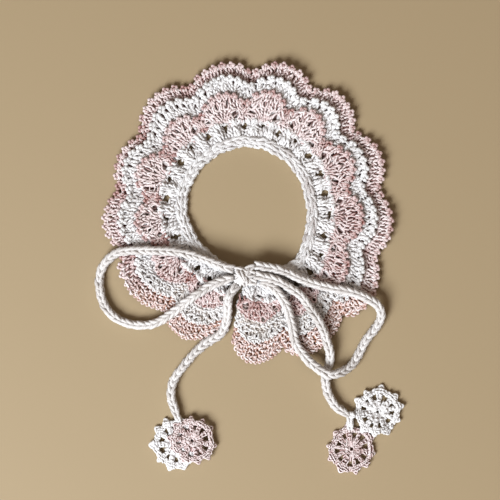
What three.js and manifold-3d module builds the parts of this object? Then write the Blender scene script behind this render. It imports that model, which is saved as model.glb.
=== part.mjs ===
// A crocheted ruffle collar in white and dusty pink yarn, lying flat, its tie cords knotted in a bow.
// Millimetres, +Z up. The surface that it lies on is z = 0, and its front, with the bow, is towards -Y.
import * as THREE from "three";
import { mergeVertices } from "three/addons/utils/BufferGeometryUtils.js";
import Module from "manifold-3d";

const wasm = await Module();
wasm.setup();

const DEGREE = Math.PI / 180;
const GAP = 0.4; // clear space between pieces that touch on the real collar
const NECK_CENTRE = { x: -1.3, y: 5.2 };

// The widths of the two white rows, outwards from the neck edge.
const EDGE_WIDTH = 9;
const ROW_WIDTH = 26;
const CREASE_RISE = 2; // the creases' height at the rim
const CREASE_TURN = 44; // out from the neck edge, where the creases start to turn to their rim directions
const RIM_DISTANCE = 78; // and where they have done so

// One row for each shell of the ruffles, anticlockwise from the closing at the front, and a last row for the
// far end. eyelet and rim: the direction of the crease where the shell starts, in degrees about the neck's
// centre, at the eyelets and at the rim. edge: the same at the neck edge, where it differs. neck: the neck
// edge's radius. top, middle and under: how far from the neck's centre each tier reaches at the shell's
// crown. lean: where between its two creases the crown lies. rise: the crown's height at the rim.
const SHELLS = [
  { edge: -87, eyelet: -95, rim: -96.5, neck: 68.5, top: 116, middle: 137, under: 157.5, lean: 0.5, rise: 4 },
  { eyelet: -70, rim: -75, neck: 71, top: 121, middle: 140, under: 161, lean: 0.35, rise: 4 },
  { eyelet: -46, rim: -48, neck: 72, top: 123, middle: 139, under: 157, lean: 0.32, rise: 5 },
  { eyelet: -21, rim: -21, neck: 64.2, top: 118.5, middle: 131, under: 148, lean: 0.45, rise: 5.5 },
  { eyelet: 9, rim: 6, neck: 60, top: 116.5, middle: 128, under: 145, lean: 0.52, rise: 5 },
  { eyelet: 38.5, rim: 33.5, neck: 60, top: 117, middle: 130.5, under: 146, lean: 0.58, rise: 5 },
  { eyelet: 66, rim: 59.5, neck: 59.6, top: 117.5, middle: 131.5, under: 147.5, lean: 0.53, rise: 6 },
  { eyelet: 91, rim: 87, neck: 59.8, top: 115, middle: 130.5, under: 144.5, lean: 0.42, rise: 5.5 },
  { eyelet: 118.5, rim: 116, neck: 58.8, top: 111.5, middle: 129.5, under: 144, lean: 0.47, rise: 5 },
  { eyelet: 146.3, rim: 145, neck: 58.6, top: 115.5, middle: 128.5, under: 137.5, lean: 0.55, rise: 5 },
  { eyelet: 175, rim: 172.5, neck: 59.8, top: 112, middle: 128, under: 143.5, lean: 0.52, rise: 5.5 },
  { eyelet: 204, rim: 200.5, neck: 58.5, top: 111, middle: 127.5, under: 145, lean: 0.45, rise: 5 },
  { eyelet: 232.5, rim: 232, neck: 59, top: 109, middle: 128, under: 146, lean: 0.48, rise: 4 },
  { edge: 262.5, eyelet: 260, rim: 256.5, neck: 63.5 },
];
const COUNT = SHELLS.length - 1;

// picots: the small points along one shell's edge. notch: the crease's reach as a share of the reach of the
// crowns beside it. low: the underside's height over the folded ground. lift: how much further it stands at
// the rim. rows: the cells across the ruffle.
const TIERS = {
  top_tier: { column: "top", picots: 5, notch: 0.845, low: 4.8, lift: 3.2, rows: 2, colour: "pink" },
  middle_tier: { column: "middle", picots: 6, notch: 0.888, low: 2.4, lift: 1.6, rows: 2, colour: "white" },
  under_tier: { column: "under", picots: 7, notch: 0.902, low: 0, lift: 0, rows: 3, colour: "pink" },
};
const TIER_WALL = 1.8;
const PICOT_DEPTH = 3;
const INNER_CELLS = 0.7; // the share of a ruffle that the cells inside its outermost row take up
const END_NOTCH = 0.84; // the notch share at the closing, where each tier's edge is drawn back
const CROWN_ROUNDING = 0.7; // under 1 makes the shells' outlines rounder than a sine's

// At the closing the tie pulls the collar up into a low tent.
const FRONT_RISE = 5.5;
const FRONT_SPREAD = 2.9; // in shells, to either side
const FRONT_FALL = 54; // how far out from the neck edge the rise is used up

const EDGE_LOW = 0.6;
const EDGE_WALLS = [2.4, 4.8, 4]; // at the neck, along the middle and at the row of clusters
const EDGE_COLUMNS = 5; // the cells along one shell
const ROW_WALL = 5.2;
const ROW_COLUMNS = 6;
const CLUSTER_PUFF = 0.8;
// Large eyelets lie at the creases, and smaller ones further out at the shells' middles.
const EYELETS = {
  crease: { out: 19.4, wide: 5.6, long: 7.6 },
  middle: { out: 22, wide: 4.4, long: 6 },
};
const CUTTER = { low: -20, high: 40 };

const KNOT = { x: -3.3, y: -64, z: 17.2 };
const KNOT_LOBES = [
  { dx: 0, dy: 0, dz: 0.4, rx: 6.2, ry: 8.4, rz: 5.6, turn: 10 },
  { dx: -4.6, dy: 2.2, dz: -1, rx: 5.2, ry: 4.6, rz: 4.2, turn: 25 },
  { dx: 4.6, dy: 1.6, dz: -0.8, rx: 5.2, ry: 5, rz: 4.4, turn: -20 },
  { dx: 7.6, dy: -5.6, dz: -2.4, rx: 5.6, ry: 3.4, rz: 3.6, turn: -15 },
];

// The routes of the tie cord's four free stretches, from the knot outwards: x, y and height of the middle.
const CORD_ACROSS = 8;
const CORD_SIDES = 8;
const CORD_STEP = 16.5;
const CORDS = {
  left_loop: [
    [-13.6, -58.4, 16.6], [-29.5, -53.1, 15.6], [-46.8, -46.2, 14.3], [-69.7, -40.5, 14],
    [-92.7, -39.3, 14.3], [-115.6, -39.3, 12.2], [-129.4, -41.6, 9.4], [-140.9, -50.8, 6],
    [-146.6, -62.3, 4.1], [-147.3, -76.1, 4.1], [-144.3, -89.8, 4.1], [-136.3, -102.5, 4.1],
    [-123.7, -110.5, 4.1], [-107.6, -113.9, 4.6], [-91.5, -111.6, 7.2], [-77.8, -103.6, 10.2],
    [-64, -93.3, 13], [-50.2, -82.9, 16.6], [-35.3, -73.8, 17.2], [-22, -68.6, 17.2],
    [-14, -66.4, 17.2],
  ],
  right_loop: [
    [7.5, -53.6, 16.6], [21.7, -56.3, 15], [36.7, -60, 13.9], [51.6, -66.9, 13.2],
    [67.7, -72.6, 13.6], [86, -77.2, 13.9], [104.4, -80.6, 14], [120.5, -87.5, 13],
    [130.8, -95.6, 9.8], [133.1, -107.1, 5.3], [127.4, -117.4, 4.1], [118.2, -128.8, 4.1],
    [111.3, -142.6, 4.1], [104.4, -153, 5.6], [94.1, -159.8, 10], [82.6, -162.2, 13],
    [70, -156.4, 12], [57.3, -144.9, 10.4], [48.1, -131.2, 9.8], [44.7, -115.1, 12.4],
    [40.1, -97.8, 15.4], [33.2, -85.1, 15.6], [25.2, -76, 15.2], [13.2, -71.6, 15.2],
  ],
  left_tail: [
    [-9.8, -73.6, 14], [-14.5, -79, 15.4], [-19.2, -87.4, 16.8], [-19.4, -99, 12.4],
    [-21.5, -112.8, 5.4], [-27.3, -123.1, 4.1], [-41, -131.2, 4.1], [-52.5, -141.5, 4.1],
    [-64, -155.3, 4.1], [-72.5, -167.1, 4.1], [-75.8, -177.8, 4.1], [-75.8, -186.2, 4.1],
    [-72.5, -196.1, 4.1], [-69.4, -206.6, 4.1],
  ],
  right_tail: [
    [7.9, -62.3, 16.4], [24.7, -65.4, 15.1], [34.4, -69.6, 14.4], [51.6, -82.9, 15.6],
    [63.1, -97.8, 15.2], [73.4, -113.9, 13.2], [79.1, -130, 11.4], [82.6, -143.8, 7],
    [81.4, -153, 4.2], [78.9, -160.8, 4.1], [77.9, -166.4, 4.1], [78.7, -174.8, 4.1],
    [81.7, -184.8, 4.1], [88.7, -194.8, 4.1], [96.2, -200.6, 4.1], [102, -204.5, 4.1],
  ],
};

// A flower's radii, and half the width of a petal's foot, its tip and a gap as shares of the petals' pitch.
const FLOWER = { wall: 2.4, hub: 1.6, gapIn: 11, gapOut: 17, rim: 21.5, tip: 26, petals: 10 };
const PETAL_SHARES = { foot: 0.36, tip: 0.12, gap: 0.26 };
const DRAPE = { clearance: 0.8, from: 6, to: 18 }; // outwards from the rim of the flower that lies below
const FLOWERS = {
  left_white_flower: { x: -70.8, y: -232.5, turn: 3, scale: 1.05, colour: "white" },
  left_pink_flower: { x: -54.4, y: -228.5, turn: 27, scale: 0.96, colour: "pink", on: "left_white_flower" },
  right_white_flower: { x: 130.2, y: -199.8, turn: 10, scale: 1, colour: "white", on: "right_pink_flower" },
  right_pink_flower: { x: 103.9, y: -237.4, turn: 27, scale: 1, colour: "pink" },
};

const MATERIALS = {
  white: new THREE.MeshStandardMaterial({ color: 0xf1eff0, roughness: 0.75, metalness: 0 }),
  pink: new THREE.MeshStandardMaterial({ color: 0xdcb3b5, roughness: 0.7, metalness: 0 }),
};

// Joins a geometry's shared corners, so that its faces close into one skin.
function closed(geometry) {
  geometry.deleteAttribute("normal");
  geometry.deleteAttribute("uv");
  return mergeVertices(geometry, 1e-4);
}

function solid(geometry) {
  const merged = closed(geometry);
  return new wasm.Manifold(
    new wasm.Mesh({
      numProp: 3,
      vertProperties: merged.attributes.position.array,
      triVerts: new Uint32Array(merged.index.array),
    }),
  );
}

function geometryOf(body) {
  const mesh = body.getMesh();
  const geometry = new THREE.BufferGeometry();
  geometry.setAttribute("position", new THREE.BufferAttribute(mesh.vertProperties, 3));
  geometry.setIndex(new THREE.BufferAttribute(mesh.triVerts, 1));
  return geometry;
}

function piece(name, geometry, colour) {
  geometry.computeVertexNormals();
  const mesh = new THREE.Mesh(geometry, MATERIALS[colour]);
  mesh.name = name;
  return mesh;
}

// A column of the shell table at s shells along the collar. Ease rounds the change from row to row.
function along(column, s, ease = false) {
  const row = Math.min(Math.floor(s), COUNT - 1);
  const share = s - row;
  const between = ease ? THREE.MathUtils.smoothstep(share, 0, 1) : share;
  const value = (shell) => shell[column] ?? shell.eyelet;
  return THREE.MathUtils.lerp(value(SHELLS[row]), value(SHELLS[row + 1]), between);
}

// The point that lies s shells along the collar, `out` beyond the neck edge and at height z.
function place(s, out, z) {
  const toRim = THREE.MathUtils.clamp((out - CREASE_TURN) / (RIM_DISTANCE - CREASE_TURN), 0, 1);
  const toEyelet = THREE.MathUtils.clamp(out / EYELETS.crease.out, 0, 1);
  const inner = THREE.MathUtils.lerp(along("edge", s), along("eyelet", s), toEyelet);
  const angle = THREE.MathUtils.lerp(inner, along("rim", s), toRim) * DEGREE;
  const radius = along("neck", s, true) + out;
  const x = NECK_CENTRE.x + radius * Math.cos(angle);
  const y = NECK_CENTRE.y + radius * Math.sin(angle);
  return new THREE.Vector3(x, y, z);
}

function frontRise(s) {
  const away = Math.min(s, COUNT - s);
  return FRONT_RISE * THREE.MathUtils.smoothstep(FRONT_SPREAD - away, 0, FRONT_SPREAD);
}

// The folded ground that all three tiers follow: a crease between shells, a crown along each one's middle.
function ground(s, out) {
  const row = Math.min(Math.floor(s), COUNT - 1);
  const crown = Math.sin(Math.PI * (s - row));
  const outwards = Math.max(0, (out - EYELETS.crease.out) / (RIM_DISTANCE - EYELETS.crease.out));
  const tent = Math.max(0, 1 - Math.max(0, out - ROW_WIDTH) / (FRONT_FALL - ROW_WIDTH));
  return frontRise(s) * tent + THREE.MathUtils.lerp(CREASE_RISE, SHELLS[row].rise, crown) * outwards;
}

// How far a tier's edge is from the neck edge, s shells along.
function reach(tier, s) {
  const row = Math.min(Math.floor(s), COUNT - 1);
  const share = s - row;
  const crown = SHELLS[row][tier.column];
  const notchAt = (i) => {
    if (i === 0 || i === COUNT) return END_NOTCH * crown;
    return (tier.notch * (SHELLS[i - 1][tier.column] + SHELLS[i][tier.column])) / 2;
  };
  const notch = THREE.MathUtils.lerp(notchAt(row), notchAt(row + 1), share);
  const leaning = share ** (Math.log(0.5) / Math.log(SHELLS[row].lean));
  const bulge = Math.max(0, Math.sin(Math.PI * leaning)) ** CROWN_ROUNDING;
  return THREE.MathUtils.lerp(notch, crown, bulge) - along("neck", s, true);
}

// A bar of cells bent round the neck. at(s, outwards, up) places a corner: s shells along the collar, and
// outwards and up from 0 to 1 across the bar.
function bentBar(columns, rows, at) {
  const geometry = new THREE.BoxGeometry(1, 1, 1, columns, rows, 1);
  const corners = geometry.attributes.position;
  for (let i = 0; i < corners.count; i++) {
    const s = (0.5 - corners.getX(i)) * COUNT;
    const { x, y, z } = at(s, corners.getY(i) + 0.5, corners.getZ(i) + 0.5);
    corners.setXYZ(i, x, y, z);
  }
  return geometry;
}

// One ruffle. Its outermost row of cells ends in picots, every second corner of the edge being drawn in.
function makeTier(name) {
  const tier = TIERS[name];
  const perShell = 2 * tier.picots;
  const start = ROW_WIDTH + GAP;
  const geometry = bentBar(COUNT * perShell, tier.rows, (s, outwards, up) => {
    const drawnIn = Math.round(s * perShell) % 2 === 0;
    const edge = reach(tier, s) - (drawnIn ? PICOT_DEPTH : 0);
    const bend = Math.min(FRONT_FALL, THREE.MathUtils.lerp(start, edge, INNER_CELLS));
    const row = Math.round(outwards * tier.rows);
    const out = row === tier.rows ? edge : THREE.MathUtils.lerp(start, bend, row / (tier.rows - 1));
    const low = tier.low + (tier.lift * (out - start)) / (RIM_DISTANCE - start);
    return place(s, out, ground(s, out) + low + up * TIER_WALL);
  });
  return piece(name, closed(geometry), tier.colour);
}

// The rounded edge band, thickest along its middle.
function makeNeckEdge() {
  const rows = EDGE_WALLS.length - 1;
  const middle = EDGE_LOW + Math.max(...EDGE_WALLS) / 2;
  const geometry = bentBar(COUNT * EDGE_COLUMNS, rows, (s, outwards, up) => {
    const wall = EDGE_WALLS[Math.round(outwards * rows)];
    return place(s, outwards * (EDGE_WIDTH - GAP), middle + frontRise(s) + (up - 0.5) * wall);
  });
  return piece("neck_edge", closed(geometry), "white");
}

function eyeletCutter(s) {
  const eyelet = Number.isInteger(s) ? EYELETS.crease : EYELETS.middle;
  const shape = new THREE.Shape();
  shape.moveTo(eyelet.long / 2, 0);
  shape.lineTo(0, eyelet.wide / 2);
  shape.lineTo(-eyelet.long / 2, 0);
  shape.lineTo(0, -eyelet.wide / 2);
  const cutter = new THREE.ExtrudeGeometry(shape, { depth: CUTTER.high - CUTTER.low, bevelEnabled: false });
  const spot = place(s, eyelet.out, CUTTER.low);
  cutter.rotateZ(Math.atan2(spot.y - NECK_CENTRE.y, spot.x - NECK_CENTRE.x));
  cutter.translate(spot.x, spot.y, spot.z);
  return solid(cutter);
}

// The row of clusters, flat below and swelling above between the eyelets, which lie at each crease and each
// shell's middle.
function makeEyeletRow() {
  const bar = bentBar(COUNT * ROW_COLUMNS, 2, (s, outwards, up) => {
    const swell = CLUSTER_PUFF * Math.abs(Math.sin(2 * Math.PI * s)) * (1 - Math.abs(2 * outwards - 1));
    const out = THREE.MathUtils.lerp(EDGE_WIDTH, ROW_WIDTH, outwards);
    return place(s, out, frontRise(s) + up * (ROW_WALL + swell));
  });
  let row = solid(bar);
  for (let i = 1; i < 2 * COUNT; i++) row = row.subtract(eyeletCutter(i / 2));
  return piece("eyelet_row", geometryOf(row), "white");
}

function makeKnot() {
  let knot = null;
  for (const lobe of KNOT_LOBES) {
    const ball = new THREE.SphereGeometry(1, 10, 6);
    ball.scale(lobe.rx, lobe.ry, lobe.rz);
    ball.rotateZ(lobe.turn * DEGREE);
    ball.translate(KNOT.x + lobe.dx, KNOT.y + lobe.dy, KNOT.z + lobe.dz);
    knot = knot ? knot.add(solid(ball)) : solid(ball);
  }
  return piece("bow_knot", geometryOf(knot), "white");
}

function makeCord(name) {
  const route = new THREE.CatmullRomCurve3(CORDS[name].map((point) => new THREE.Vector3(...point)));
  const section = [];
  for (let i = 0; i < CORD_SIDES; i++) {
    const angle = ((i + 0.5) * 2 * Math.PI) / CORD_SIDES;
    section.push(new THREE.Vector2(Math.cos(angle), Math.sin(angle)).multiplyScalar(CORD_ACROSS / 2));
  }
  const steps = Math.ceil(route.getLength() / CORD_STEP);
  const options = { steps, extrudePath: route, bevelEnabled: false };
  return piece(name, closed(new THREE.ExtrudeGeometry(new THREE.Shape(section), options)), "white");
}

// A flower is a pierced disc: a hub with a small hole, spokes with gaps between them, and pointed petals.
function flowerShape() {
  const { hub, gapIn, gapOut, rim, tip, petals } = FLOWER;
  const step = 360 / petals;
  const foot = PETAL_SHARES.foot * step;
  const point = PETAL_SHARES.tip * step;
  const gap = PETAL_SHARES.gap * step;
  const polar = (radius, degrees) =>
    new THREE.Vector2(radius * Math.cos(degrees * DEGREE), radius * Math.sin(degrees * DEGREE));
  const outline = [];
  for (let i = 0; i < petals; i++) {
    const middle = i * step;
    outline.push(polar(rim, middle - foot), polar(tip, middle - point));
    outline.push(polar(tip, middle + point), polar(rim, middle + foot));
  }
  const shape = new THREE.Shape(outline);
  for (let i = 0; i < petals; i++) {
    const middle = (i + 0.5) * step;
    const corners = [polar(gapIn, middle), polar(gapOut, middle + gap), polar(gapOut, middle - gap)];
    shape.holes.push(new THREE.Path(corners));
  }
  const centre = [0, 60, 120, 180, 240, 300].map((degrees) => polar(hub, -degrees));
  shape.holes.push(new THREE.Path(centre));
  return shape;
}

function makeFlower(name) {
  const flower = FLOWERS[name];
  const geometry = new THREE.ExtrudeGeometry(flowerShape(), { depth: FLOWER.wall, bevelEnabled: false });
  geometry.scale(flower.scale, flower.scale, 1);
  geometry.rotateZ(flower.turn * DEGREE);
  geometry.translate(flower.x, flower.y, 0);
  if (flower.on) drape(geometry, FLOWERS[flower.on]);
  return piece(name, closed(geometry), flower.colour);
}

// Lifts what lies over a lower flower by its thickness, and lets the rest sink to the surface.
function drape(geometry, lower) {
  const corners = geometry.attributes.position;
  for (let i = 0; i < corners.count; i++) {
    const away = Math.hypot(corners.getX(i) - lower.x, corners.getY(i) - lower.y);
    const beyond = away - FLOWER.tip * lower.scale;
    const covered = 1 - THREE.MathUtils.smoothstep(beyond, DRAPE.from, DRAPE.to);
    corners.setZ(i, corners.getZ(i) + covered * (FLOWER.wall + DRAPE.clearance));
  }
}

const collar = new THREE.Group();
collar.add(makeNeckEdge(), makeEyeletRow());
for (const name of Object.keys(TIERS)) collar.add(makeTier(name));

const bow = new THREE.Group();
bow.add(makeKnot());
for (const name of Object.keys(CORDS)) bow.add(makeCord(name));
for (const name of Object.keys(FLOWERS)) bow.add(makeFlower(name));

const part = new THREE.Group();
part.add(collar, bow);

export default part;
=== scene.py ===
# %% [markdown]
# # A crocheted ruffle collar, stitch by stitch
# The real object is a collar of cotton yarn: a white band with a row of eyelets round the neck, and three
# scalloped ruffles, pink, white and pink. A crocheted cord ties it in a bow and ends in four small flowers.
# The fixed frame holds plain closed sheets and tubes. This script lays real stitches where those solids
# are, because in crochet the shadows between the strands are what the eye sees first.

# %% Load the frame
import math

import bpy
import numpy as np
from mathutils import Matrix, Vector


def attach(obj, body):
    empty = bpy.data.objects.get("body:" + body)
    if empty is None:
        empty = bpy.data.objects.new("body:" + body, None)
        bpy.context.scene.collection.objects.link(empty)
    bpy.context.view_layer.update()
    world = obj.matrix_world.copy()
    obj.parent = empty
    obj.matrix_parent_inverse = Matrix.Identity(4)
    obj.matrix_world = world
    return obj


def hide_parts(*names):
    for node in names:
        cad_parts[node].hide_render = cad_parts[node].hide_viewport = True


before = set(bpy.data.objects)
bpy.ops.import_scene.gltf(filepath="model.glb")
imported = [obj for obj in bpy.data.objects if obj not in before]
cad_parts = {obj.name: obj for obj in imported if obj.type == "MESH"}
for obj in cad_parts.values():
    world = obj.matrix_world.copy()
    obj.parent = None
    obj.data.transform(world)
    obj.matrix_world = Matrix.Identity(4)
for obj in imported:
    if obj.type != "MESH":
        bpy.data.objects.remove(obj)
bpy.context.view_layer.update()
rng = np.random.default_rng(24)
scatter = rng.standard_normal
print("nodes:", ", ".join(sorted(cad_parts)))

# %% [markdown]
# ## The camera
# The collar lies flat and is seen from straight above. A long lens from 1.5 m keeps the raised bow from
# growing, and 500 mm of the floor fill the width of the picture.

# %% Set the camera
MM = 0.001
VIEW_ACROSS = 0.5
CAMERA_HEIGHT = 1.5
VIEW_CENTRE = (0.0027, -0.0388)
SENSOR = 36


def in_scene(name, data):
    """The object that brings a mesh, a lamp or a camera into the scene."""
    made = bpy.data.objects.new(name, data)
    bpy.context.scene.collection.objects.link(made)
    return made


camera = in_scene("camera", bpy.data.cameras.new("camera"))
camera.location = (*VIEW_CENTRE, CAMERA_HEIGHT)
camera.data.sensor_width = SENSOR
camera.data.lens = SENSOR * CAMERA_HEIGHT / VIEW_ACROSS
camera.data.clip_start = 0.05
bpy.context.scene.camera = camera
print("lens", round(camera.data.lens), "mm")

# %% [markdown]
# ## Strands
# Each stitch is yarn laid along a path, so one tool is enough: it sweeps a small ring along many paths at
# once. The ring's frame is carried from point to point, which keeps it from spinning. A curve object with a
# bevel would do this too, but thousands of stitches are quicker as arrays of numbers.

# %% Sweep rings along paths
def unit(vectors):
    return vectors / np.maximum(np.linalg.norm(vectors, axis=-1, keepdims=True), 1e-9)


def way_along(paths):
    """How far along its path each point is."""
    steps = np.diff(paths, axis=-2, prepend=paths[..., :1, :])
    return np.cumsum(np.linalg.norm(steps, axis=-1), axis=-1)


def left_of(ahead):
    """The level direction square to each one."""
    return np.stack([-ahead[..., 1], ahead[..., 0], np.zeros(ahead.shape[:-1])], -1)


def ring_frames(paths):
    """Along each path, two directions square to it. The first starts near the vertical."""
    along_path = unit(np.gradient(paths, axis=1))
    first = np.empty_like(paths)
    guess = np.tile([0.0, 0.0, 1.0], (len(paths), 1))
    steep = np.abs(along_path[:, 0, 2]) > 0.9
    guess[steep] = [1.0, 0.0, 0.0]
    for i in range(paths.shape[1]):
        ahead = along_path[:, i]
        guess = unit(guess - ahead * (guess * ahead).sum(-1, keepdims=True))
        first[:, i] = guess
    return first, np.cross(along_path, first)


# %% [markdown]
# The eye knows crochet by the dark between its strands, and that shade is painted into the yarn's colour:
# each point is told how far it faces the open air. The points near it are averaged through a coarse grid:
# a crest looks away from that middle, and the flank of a strand among others doesn't, so it is painted
# darker.

# %% Find the hollows
GRAIN = 2.0  # mm across a cell of the grid
LEVEL = 0.85  # how hollow a point is that lies level with the middle of the yarn round it
CLEARING = 1.1  # mm further out, over which that falls by 1


def hollow_shade_of(points, outward):
    """How much painted shade a point gets: 0 where a strand faces the open air, up to 1 where it faces other
    yarn.
    """
    place_in = (points - points.min(0)) / GRAIN + 2.5
    size = tuple(int(n) + 3 for n in place_in.max(0))
    cell = np.ravel_multi_index(place_in.astype(int).T, size)
    sums = np.stack([
        np.bincount(cell, weight, math.prod(size)).reshape(size)
        for weight in (np.ones(len(points)), *points.T)
    ])
    for axis in (1, 2, 3):
        sums = (np.roll(sums, 1, axis) + 2 * sums + np.roll(sums, -1, axis)) / 4
    corner = np.floor(place_in - 0.5).astype(int)
    share = place_in - 0.5 - corner
    near = 0
    for step in np.ndindex(2, 2, 2):
        weight = np.prod(np.where(step, share, 1 - share), axis=1)
        x, y, z = (corner + step).T
        near = near + weight * sums[:, x, y, z]
    middle = (near[1:] / near[0]).T
    clear = ((points - middle) * outward).sum(1)
    return np.clip(LEVEL - clear / CLEARING, 0, 1)


# %% [markdown]
# Crochet has small openings where its posts lean apart. Cut out of a mesh, they would end the yarn, so here
# each strand near one is pushed aside and bends round it.

# %% Push strands aside
def parted(paths, holes):
    """The strands pushed aside round holes, each given as x, y and a radius."""
    for x, y, size in holes:
        offset = paths[..., :2] - [x, y]
        away = np.maximum(np.linalg.norm(offset, axis=-1, keepdims=True), 0.01)
        pushed = np.sqrt(away**2 + size**2 * np.exp(-((away / (2 * size)) ** 4)))
        paths = np.concatenate([[x, y] + offset * pushed / away, paths[..., 2:]], -1)
    return paths


# %% [markdown]
# A piece gathers its strands and becomes one mesh. Three attributes go with every point: `yarn` is where it
# lies round the strand and along it, the tone a random number for each strand less its darkening, which is
# partly dull yarn and partly painted shade, and the hollow shade the painted shade above. The yarn's finish
# reads them, so its twist runs along every strand.

# %% Gather strands into one mesh
def give(mesh, name, values):
    """Stores a number or a vector with each point of a mesh."""
    kind, field = ("FLOAT", "value") if values.ndim == 1 else ("FLOAT_VECTOR", "vector")
    stored = mesh.attributes.get(name) or mesh.attributes.new(name, kind, "POINT")
    stored.data.foreach_set(field, values.ravel())


class Stitches:
    def __init__(self, holes=()):
        self.points, self.outward, self.faces, self.yarn, self.tone_and_shade = [], [], [], [], []
        self.count, self.holes = 0, holes

    def lay(self, paths, radius, sides=5, taper=0.75, dull_and_shade=0.0):
        """paths is strands x points x 3 in millimetres, or one strand alone. radius is one number or one for
        each point, and a darkening for each strand: above 0 it is darker than the rest, and below 0 lighter.
        It holds dull yarn as well as painted shade and painted light."""
        paths = parted(paths.reshape(-1, *paths.shape[-2:]), self.holes)
        strands, steps = paths.shape[:2]
        thick = np.broadcast_to(radius, (strands, steps)).astype(float)
        paths = np.concatenate([paths[..., :2], np.maximum(paths[..., 2], thick)[..., None]], -1)
        first, second = ring_frames(paths)
        thick[:, [0, -1]] *= taper
        turn = np.arange(sides) * 2 * math.pi / sides
        around = first[:, :, None] * np.cos(turn)[:, None] + second[:, :, None] * np.sin(turn)[:, None]
        rings = paths[:, :, None] + around * thick[:, :, None, None]
        number = self.count + np.arange(strands * steps * sides).reshape(strands, steps, sides)
        after = np.roll(number, -1, axis=2)
        sheath = np.stack([number[:, :-1], after[:, :-1], after[:, 1:], number[:, 1:]], -1)
        self.faces += sheath.reshape(-1, 4).tolist()
        self.faces += number[:, 0, ::-1].tolist() + number[:, -1].tolist()
        self.points.append(rings.reshape(-1, 3))
        self.outward.append(around.reshape(-1, 3))
        yarn = np.empty((strands, steps, sides, 3))
        yarn[..., 0], yarn[..., 1] = np.cos(turn), np.sin(turn)
        yarn[..., 2] = way_along(paths)[:, :, None]
        self.yarn.append(yarn.reshape(-1, 3))
        self.tone_and_shade.append(np.repeat(rng.random(strands) - np.resize(dull_and_shade, strands), steps * sides))
        self.count += strands * steps * sides

    def piece(self, name, material, deep=1.0):
        """deep is how strong the painted shade between the strands is, as a share of the darkest."""
        mesh = bpy.data.meshes.new(name)
        points = np.concatenate(self.points)
        mesh.from_pydata((points * MM).tolist(), [], self.faces)
        mesh.polygons.foreach_set("use_smooth", [True] * len(mesh.polygons))
        give(mesh, "yarn", np.concatenate(self.yarn))
        give(mesh, "tone_and_shade", np.concatenate(self.tone_and_shade))
        give(mesh, "hollow_shade", deep * hollow_shade_of(points, np.concatenate(self.outward)))
        mesh.materials.append(material)
        made = in_scene(name, mesh)
        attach(made, "root")
        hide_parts(name.removesuffix("_stitches"))
        print(name, sum(len(face) - 2 for face in self.faces), "triangles")
        return made


# %% [markdown]
# ## Yarn
# The finish is worked out with plain Python arithmetic: this small class wraps a socket, and adding or
# multiplying two of them adds the Math node that does it.

# %% Write shader maths as Python
class Shade:
    def __init__(self, tree, socket=None):
        self.tree, self.socket = tree, socket

    def node(self, kind, settings=None, sockets=None):
        """A node of that kind: its settings first, then the values or links of its sockets."""
        made = self.tree.nodes.new(kind)
        for key, value in (settings or {}).items():
            setattr(made, key, value)
        for key, value in (sockets or {}).items():
            shown = [x for i, x in enumerate(made.inputs) if key in (i, x.name) and x.enabled]
            if isinstance(value, Shade):
                self.tree.links.new(value.socket, shown[0])
            else:
                shown[0].default_value = value
        outputs = [x for x in made.outputs if x.enabled]
        return Shade(self.tree, outputs[0] if outputs else None)

    def output(self, name):
        return Shade(self.tree, self.socket.node.outputs[name])

    def attribute(self, name, output):
        return self.node("ShaderNodeAttribute", {"attribute_name": name}).output(output)

    def maths(self, operation, *values):
        return self.node("ShaderNodeMath", {"operation": operation}, dict(enumerate(values)))

    __add__ = __radd__ = lambda self, other: self.maths("ADD", self, other)
    __mul__ = __rmul__ = lambda self, other: self.maths("MULTIPLY", self, other)
    __sub__ = lambda self, other: self.maths("SUBTRACT", self, other)
    __rsub__ = lambda self, other: self.maths("SUBTRACT", other, self)
    __pow__ = lambda self, other: self.maths("POWER", self, other)

    def sine(self):
        return self.maths("SINE", self)

    def clamped(self):
        return self.node("ShaderNodeClamp", None, {"Value": self})

    def between(self, low, high):
        """The colour that lies that far from low to high."""
        ends = {"Factor": self, "A": low, "B": high}
        return self.node("ShaderNodeMix", {"data_type": "RGBA"}, ends)


# %% [markdown]
# Mercerised cotton is smooth and a little shiny. Three plies wind round each strand and show as fine
# slanted ridges, with a bump for their relief and painted shade in their grooves. No two strands take the
# dye quite alike, and the yarn has a few dull, fuzzy stretches. Painted shade makes the hollows deep and
# warm, like light that has bounced from strand to strand, and a strand with a tone below 0 goes some way
# there too.

# %% Mix the yarns
PLIES = 3
PLY_PITCH = 3.4  # mm for half a turn of a ply
BY_PLY, BY_STRAND, BY_FUZZ, BY_WEAR = 0.4, 0.45, 0.25, 0.2  # how far each lightens the yarn


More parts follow.
